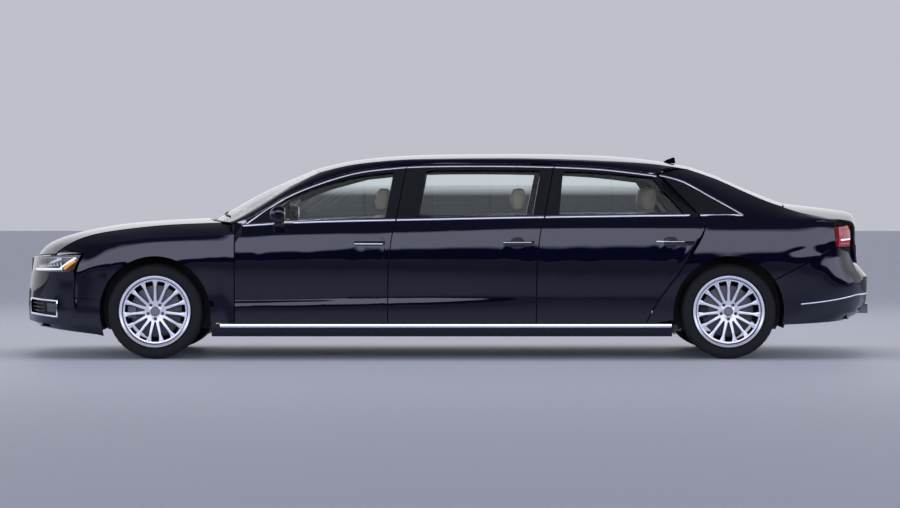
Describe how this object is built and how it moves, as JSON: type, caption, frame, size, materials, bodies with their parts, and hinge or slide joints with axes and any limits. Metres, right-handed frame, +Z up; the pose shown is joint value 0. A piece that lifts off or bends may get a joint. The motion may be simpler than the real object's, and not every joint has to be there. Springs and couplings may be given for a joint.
{
  "type": "limousine",
  "caption": "Stretched saloon car with three rows of seats, hinged side doors, bonnet and boot lid, steered front wheels and a long glazed cabin.",
  "frame": {"origin": "middle of the length and width, on the ground", "axes": "-X towards the front, -Y towards the car's left, +Z up"},
  "size_m": [6.3551, 2.164, 1.5205],
  "materials": {
    "paint": "navy metallic, glossy",
    "glass": "clear",
    "bright_trim": "polished",
    "lamp_clear": "clear lens",
    "lamp_red": "gloss",
    "frame_black": "satin",
    "steel": "brushed",
    "cast": "rough",
    "cream_leather": "soft",
    "dark_trim": "matt",
    "tyre": "matt",
    "wheel_silver": "bright silver"
  },
  "bodies": {
    "car_body": {"underbody": "frame_black", "boot_tub": "frame_black", "side_frames": "frame_black", "side_panels": "paint", "sill_trims": "bright_trim", "roof_panel": "paint", "windscreen": "glass", "rear_window": "glass", "quarter_windows": "glass", "front_fenders": "paint", "front_bumper": "paint", "rear_bumper": "paint", "grille": "bright_trim", "headlamps": "lamp_clear", "tail_lamps": "lamp_red", "exhaust": "steel", "engine": "cast", "axles": "frame_black", "seats": "cream_leather", "dashboard": "dark_trim", "steering_wheel": "dark_trim"},
    "knuckle_left": {"knuckle_left": "cast"},
    "wheel_front_left": {"wheel_front_left": "wheel_silver", "tyre_front_left": "tyre"},
    "wheel_rear_left": {"wheel_rear_left": "wheel_silver", "tyre_rear_left": "tyre"},
    "door_front_left": {"door_front_left": "paint", "glass_front_left": "glass", "mirror_left": "paint"},
    "door_middle_left": {"door_middle_left": "paint", "glass_middle_left": "glass"},
    "door_rear_left": {"door_rear_left": "paint", "glass_rear_left": "glass"},
    "knuckle_right": {"knuckle_right": "cast"},
    "wheel_front_right": {"wheel_front_right": "wheel_silver", "tyre_front_right": "tyre"},
    "wheel_rear_right": {"wheel_rear_right": "wheel_silver", "tyre_rear_right": "tyre"},
    "door_front_right": {"door_front_right": "paint", "glass_front_right": "glass", "mirror_right": "paint"},
    "door_middle_right": {"door_middle_right": "paint", "glass_middle_right": "glass"},
    "door_rear_right": {"door_rear_right": "paint", "glass_rear_right": "glass"},
    "bonnet": {"bonnet": "paint"},
    "boot_lid": {"boot_lid": "paint"}
  },
  "joints": [
    {"name": "steer_left", "type": "hinge", "parent": "car_body", "child": "knuckle_left", "pos_m": [-2.15, -0.756, 0.35], "axis": [0, 0, 1], "range_deg": [-35, 35]},
    {"name": "spin_front_left", "type": "hinge", "parent": "knuckle_left", "child": "wheel_front_left", "pos_m": [-2.15, -0.818, 0.35], "axis": [0, 1, 0], "continuous": true},
    {"name": "spin_rear_left", "type": "hinge", "parent": "car_body", "child": "wheel_rear_left", "pos_m": [2.07, -0.818, 0.35], "axis": [0, 1, 0], "continuous": true},
    {"name": "open_front_left", "type": "hinge", "parent": "car_body", "child": "door_front_left", "pos_m": [-1.505, -0.93838, 0.68], "axis": [0, 0, -1], "range_deg": [0, 65]},
    {"name": "open_middle_left", "type": "hinge", "parent": "car_body", "child": "door_middle_left", "pos_m": [-0.379, -0.945, 0.68], "axis": [0, 0, -1], "range_deg": [0, 65]},
    {"name": "open_rear_left", "type": "hinge", "parent": "car_body", "child": "door_rear_left", "pos_m": [0.714, -0.94701, 0.68], "axis": [0, 0, -1], "range_deg": [0, 65]},
    {"name": "steer_right", "type": "hinge", "parent": "car_body", "child": "knuckle_right", "pos_m": [-2.15, 0.756, 0.35], "axis": [0, 0, 1], "range_deg": [-35, 35]},
    {"name": "spin_front_right", "type": "hinge", "parent": "knuckle_right", "child": "wheel_front_right", "pos_m": [-2.15, 0.818, 0.35], "axis": [0, 1, 0], "continuous": true},
    {"name": "spin_rear_right", "type": "hinge", "parent": "car_body", "child": "wheel_rear_right", "pos_m": [2.07, 0.818, 0.35], "axis": [0, 1, 0], "continuous": true},
    {"name": "open_front_right", "type": "hinge", "parent": "car_body", "child": "door_front_right", "pos_m": [-1.505, 0.93838, 0.68], "axis": [0, 0, 1], "range_deg": [0, 65]},
    {"name": "open_middle_right", "type": "hinge", "parent": "car_body", "child": "door_middle_right", "pos_m": [-0.379, 0.945, 0.68], "axis": [0, 0, 1], "range_deg": [0, 65]},
    {"name": "open_rear_right", "type": "hinge", "parent": "car_body", "child": "door_rear_right", "pos_m": [0.714, 0.94701, 0.68], "axis": [0, 0, 1], "range_deg": [0, 65]},
    {"name": "open_bonnet", "type": "hinge", "parent": "car_body", "child": "bonnet", "pos_m": [-1.725, 0, 0.962], "axis": [0, 1, 0], "range_deg": [0, 50]},
    {"name": "open_boot", "type": "hinge", "parent": "car_body", "child": "boot_lid", "pos_m": [2.363, 0, 1.066], "axis": [0, -1, 0], "range_deg": [0, 62]}
  ],
  "couplings": [
    {"joint": "steer_right", "follows": "steer_left", "ratio": 1}
  ]
}
